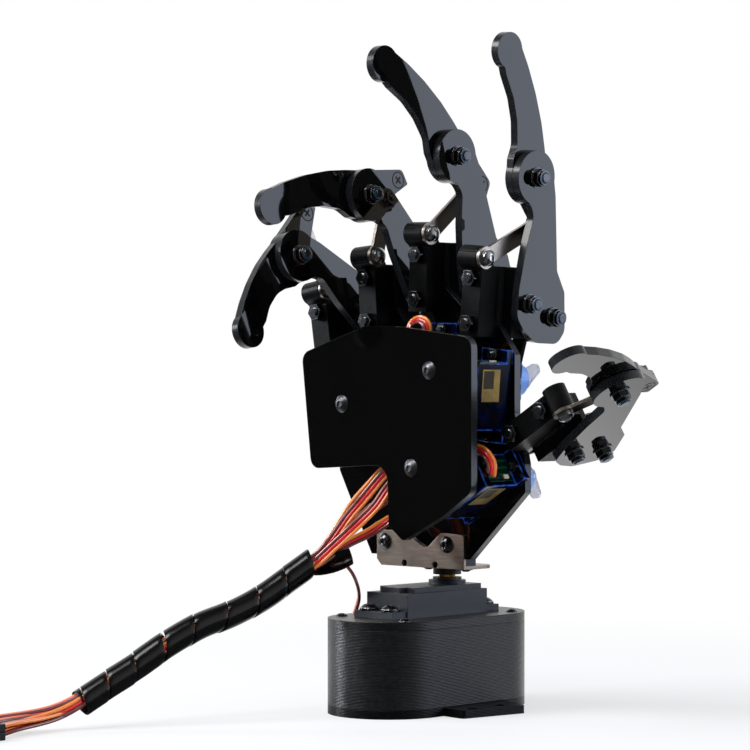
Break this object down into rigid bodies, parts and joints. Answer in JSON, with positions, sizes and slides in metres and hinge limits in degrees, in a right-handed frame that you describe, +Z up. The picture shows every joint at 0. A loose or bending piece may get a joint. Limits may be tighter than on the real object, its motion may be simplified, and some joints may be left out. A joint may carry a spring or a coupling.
{
  "type": "robot hand",
  "caption": "Robot hand of flat acrylic plates on a turning wrist and rounded base, each finger bent by its own servo through a push rod and a steel link.",
  "frame": {"origin": "on the wrist's turning axis, in the plane the base stands on", "axes": "+Z up along the wrist axis; -Y is the palm side, where the fingers close; +X is the thumb side"},
  "size_m": [0.172, 0.2139, 0.2333],
  "materials": {
    "printed_black": "satin printed plastic with fine layer lines",
    "servo_black": "moulded matt black plastic",
    "black_screw": "blackened steel",
    "horn_black": "moulded black plastic",
    "brass": "bright toothed brass",
    "brushed_steel": "brushed nickelled steel",
    "steel_screw": "bright steel",
    "black_acrylic": "polished cast acrylic",
    "servo_blue": "clear blue moulded plastic",
    "white_nylon": "milky nylon",
    "lead_wire": "three-colour silicone-like PVC lead",
    "spiral_wrap": "glossy black polyethylene",
    "plug_black": "moulded black connector"
  },
  "bodies": {
    "base": {"base_plate": "printed_black", "base_housing": "printed_black", "base_lid": "printed_black", "wrist_servo": "servo_black", "base_screws": "black_screw", "wrist_lead": "lead_wire"},
    "palm": {"wrist_spline": "brass", "wrist_horn": "horn_black", "wrist_bracket": "brushed_steel", "bracket_screws": "black_screw", "palm_plate": "black_acrylic", "palm_cover": "black_acrylic", "cover_standoffs": "black_screw", "cover_screws": "steel_screw", "servo_screws": "black_screw", "knuckle_screws": "black_screw", "link_screws": "steel_screw", "finger_leads": "lead_wire", "cable_wrap": "spiral_wrap", "lead_plugs": "plug_black", "servo_index": "servo_blue", "servo_middle": "servo_blue", "servo_ring": "servo_blue", "servo_little": "servo_blue", "servo_thumb": "servo_blue", "knuckle_index": "printed_black", "knuckle_middle": "printed_black", "knuckle_ring": "printed_black", "knuckle_little": "printed_black", "knuckle_thumb": "printed_black"},
    "index_lower": {"proximal_index": "black_acrylic", "bolts_index": "black_screw"},
    "index_tip": {"distal_index": "black_acrylic"},
    "index_link": {"link_index": "brushed_steel"},
    "index_horn": {"horn_index": "white_nylon"},
    "index_rod": {"push_rod_index": "printed_black"},
    "middle_lower": {"proximal_middle": "black_acrylic", "bolts_middle": "black_screw"},
    "middle_tip": {"distal_middle": "black_acrylic"},
    "middle_link": {"link_middle": "brushed_steel"},
    "middle_horn": {"horn_middle": "white_nylon"},
    "middle_rod": {"push_rod_middle": "printed_black"},
    "ring_lower": {"proximal_ring": "black_acrylic", "bolts_ring": "black_screw"},
    "ring_tip": {"distal_ring": "black_acrylic"},
    "ring_link": {"link_ring": "brushed_steel"},
    "ring_horn": {"horn_ring": "white_nylon"},
    "ring_rod": {"push_rod_ring": "printed_black"},
    "little_lower": {"proximal_little": "black_acrylic", "bolts_little": "black_screw"},
    "little_tip": {"distal_little": "black_acrylic"},
    "little_link": {"link_little": "brushed_steel"},
    "little_horn": {"horn_little": "white_nylon"},
    "little_rod": {"push_rod_little": "printed_black"},
    "thumb_lower": {"proximal_thumb": "black_acrylic", "bolts_thumb": "black_screw"},
    "thumb_tip": {"distal_thumb": "black_acrylic"},
    "thumb_link": {"link_thumb": "brushed_steel"},
    "thumb_horn": {"horn_thumb": "white_nylon"},
    "thumb_rod": {"push_rod_thumb": "printed_black"}
  },
  "joints": [
    {"name": "wrist_turn", "type": "hinge", "parent": "base", "child": "palm", "pos_m": [0, 0, 0.047], "axis": [0, 0, 1], "range_deg": [-90, 90]},
    {"name": "index_flex", "type": "hinge", "parent": "palm", "child": "index_lower", "pos_m": [0.03816, -0.0052, 0.14189], "axis": [0.996, 0, -0.0889], "range_deg": [-4.5, 57.5]},
    {"name": "index_tip_flex", "type": "hinge", "parent": "index_lower", "child": "index_tip", "pos_m": [0.04201, -0.00558, 0.18502], "axis": [0.996, 0, -0.0889], "range_deg": [-5.35, 68.13]},
    {"name": "index_link_swing", "type": "hinge", "parent": "palm", "child": "index_link", "pos_m": [0.03949, -0.0215, 0.15684], "axis": [0.996, 0, -0.0889], "range_deg": [-6.94, 88.44]},
    {"name": "index_horn_turn", "type": "hinge", "parent": "palm", "child": "index_horn", "pos_m": [0.0358, 0.0018, 0.1155], "axis": [0, 1, 0], "range_deg": [-6.11, 77.85]},
    {"name": "index_rod_swing", "type": "hinge", "parent": "index_horn", "child": "index_rod", "pos_m": [0.02655, 0.004, 0.10955], "axis": [0, 1, 0], "range_deg": [-75.02, 5.89]},
    {"name": "middle_flex", "type": "hinge", "parent": "palm", "child": "middle_lower", "pos_m": [0.01333, -0.0052, 0.15109], "axis": [0.9995, 0, -0.0314], "range_deg": [-18.2, 43.8]},
    {"name": "middle_tip_flex", "type": "hinge", "parent": "middle_lower", "child": "middle_tip", "pos_m": [0.01465, -0.01582, 0.19304], "axis": [0.9995, 0, -0.0314], "range_deg": [-21.58, 51.9]},
    {"name": "middle_link_swing", "type": "hinge", "parent": "palm", "child": "middle_link", "pos_m": [0.0138, -0.0215, 0.16608], "axis": [0.9995, 0, -0.0314], "range_deg": [-28, 67.37]},
    {"name": "middle_horn_turn", "type": "hinge", "parent": "palm", "child": "middle_horn", "pos_m": [0.0125, 0.0018, 0.1246], "axis": [0, 1, 0], "range_deg": [-22.08, 53.12]},
    {"name": "middle_rod_swing", "type": "hinge", "parent": "middle_horn", "child": "middle_rod", "pos_m": [0.00185, 0.004, 0.12185], "axis": [0, 1, 0], "range_deg": [-52.87, 21.98]},
    {"name": "ring_flex", "type": "hinge", "parent": "palm", "child": "ring_lower", "pos_m": [-0.0112, -0.0052, 0.14433], "axis": [0.9974, 0, 0.0715], "range_deg": [-38.7, 23.3]},
    {"name": "ring_tip_flex", "type": "hinge", "parent": "ring_lower", "child": "ring_tip", "pos_m": [-0.01374, -0.02985, 0.17984], "axis": [0.9974, 0, 0.0715], "range_deg": [-45.86, 27.62]},
    {"name": "ring_link_swing", "type": "hinge", "parent": "palm", "child": "ring_link", "pos_m": [-0.01227, -0.0215, 0.15929], "axis": [0.9974, 0, 0.0715], "range_deg": [-59.53, 35.85]},
    {"name": "ring_horn_turn", "type": "hinge", "parent": "palm", "child": "ring_horn", "pos_m": [-0.0093, 0.0018, 0.1179], "axis": [0, 1, 0], "range_deg": [-47.35, 28.52]},
    {"name": "ring_rod_swing", "type": "hinge", "parent": "ring_horn", "child": "ring_rod", "pos_m": [-0.02024, 0.004, 0.119], "axis": [0, 1, 0], "range_deg": [-28.59, 47.47]},
    {"name": "little_flex", "type": "hinge", "parent": "palm", "child": "little_lower", "pos_m": [-0.03485, -0.0052, 0.13327], "axis": [0.9877, 0, 0.1564], "range_deg": [-57.6, 4.4]},
    {"name": "little_tip_flex", "type": "hinge", "parent": "little_lower", "child": "little_tip", "pos_m": [-0.03886, -0.04005, 0.15865], "axis": [0.9877, 0, 0.1564], "range_deg": [-68.25, 5.23]},
    {"name": "little_link_swing", "type": "hinge", "parent": "palm", "child": "little_link", "pos_m": [-0.03719, -0.0215, 0.14809], "axis": [0.9877, 0, 0.1564], "range_deg": [-88.59, 6.79]},
    {"name": "little_horn_turn", "type": "hinge", "parent": "palm", "child": "little_horn", "pos_m": [-0.0307, 0.0018, 0.1071], "axis": [0, 1, 0], "range_deg": [-69.55, 5.33]},
    {"name": "little_rod_swing", "type": "hinge", "parent": "little_horn", "child": "little_rod", "pos_m": [-0.04093, 0.004, 0.11115], "axis": [0, 1, 0], "range_deg": [-5.4, 70.43]},
    {"name": "thumb_flex", "type": "hinge", "parent": "palm", "child": "thumb_lower", "pos_m": [0.06086, -0.0052, 0.09547], "axis": [0.512, 0, -0.859], "range_deg": [-27.7, 34.3]},
    {"name": "thumb_tip_flex", "type": "hinge", "parent": "thumb_lower", "child": "thumb_tip", "pos_m": [0.09492, -0.0226, 0.11577], "axis": [0.512, 0, -0.859], "range_deg": [-32.83, 40.65]},
    {"name": "thumb_link_swing", "type": "hinge", "parent": "palm", "child": "thumb_link", "pos_m": [0.07375, -0.0215, 0.10315], "axis": [0.512, 0, -0.859], "range_deg": [-42.61, 52.76]},
    {"name": "thumb_horn_turn", "type": "hinge", "parent": "palm", "child": "thumb_horn", "pos_m": [0.0381, 0.0018, 0.0819], "axis": [0, 1, 0], "range_deg": [-32.34, 40.05]},
    {"name": "thumb_rod_swing", "type": "hinge", "parent": "thumb_horn", "child": "thumb_rod", "pos_m": [0.03189, 0.004, 0.09098], "axis": [0, 1, 0], "range_deg": [-40.12, 32.4]}
  ],
  "couplings": [
    {"joint": "index_tip_flex", "follows": "index_flex", "ratio": 1.1845},
    {"joint": "index_link_swing", "follows": "index_flex", "ratio": 1.5376},
    {"joint": "index_horn_turn", "follows": "index_flex", "ratio": 1.3536},
    {"joint": "index_rod_swing", "follows": "index_flex", "ratio": -1.3043},
    {"joint": "middle_tip_flex", "follows": "middle_flex", "ratio": 1.1845},
    {"joint": "middle_link_swing", "follows": "middle_flex", "ratio": 1.5376},
    {"joint": "middle_horn_turn", "follows": "middle_flex", "ratio": 1.2123},
    {"joint": "middle_rod_swing", "follows": "middle_flex", "ratio": -1.2067},
    {"joint": "ring_tip_flex", "follows": "ring_flex", "ratio": 1.1845},
    {"joint": "ring_link_swing", "follows": "ring_flex", "ratio": 1.5376},
    {"joint": "ring_horn_turn", "follows": "ring_flex", "ratio": 1.223},
    {"joint": "ring_rod_swing", "follows": "ring_flex", "ratio": -1.226},
    {"joint": "little_tip_flex", "follows": "little_flex", "ratio": 1.1845},
    {"joint": "little_link_swing", "follows": "little_flex", "ratio": 1.5376},
    {"joint": "little_horn_turn", "follows": "little_flex", "ratio": 1.2071},
    {"joint": "little_rod_swing", "follows": "little_flex", "ratio": -1.2224},
    {"joint": "thumb_tip_flex", "follows": "thumb_flex", "ratio": 1.1845},
    {"joint": "thumb_link_swing", "follows": "thumb_flex", "ratio": 1.5376},
    {"joint": "thumb_horn_turn", "follows": "thumb_flex", "ratio": 1.1669},
    {"joint": "thumb_rod_swing", "follows": "thumb_flex", "ratio": -1.1691}
  ]
}
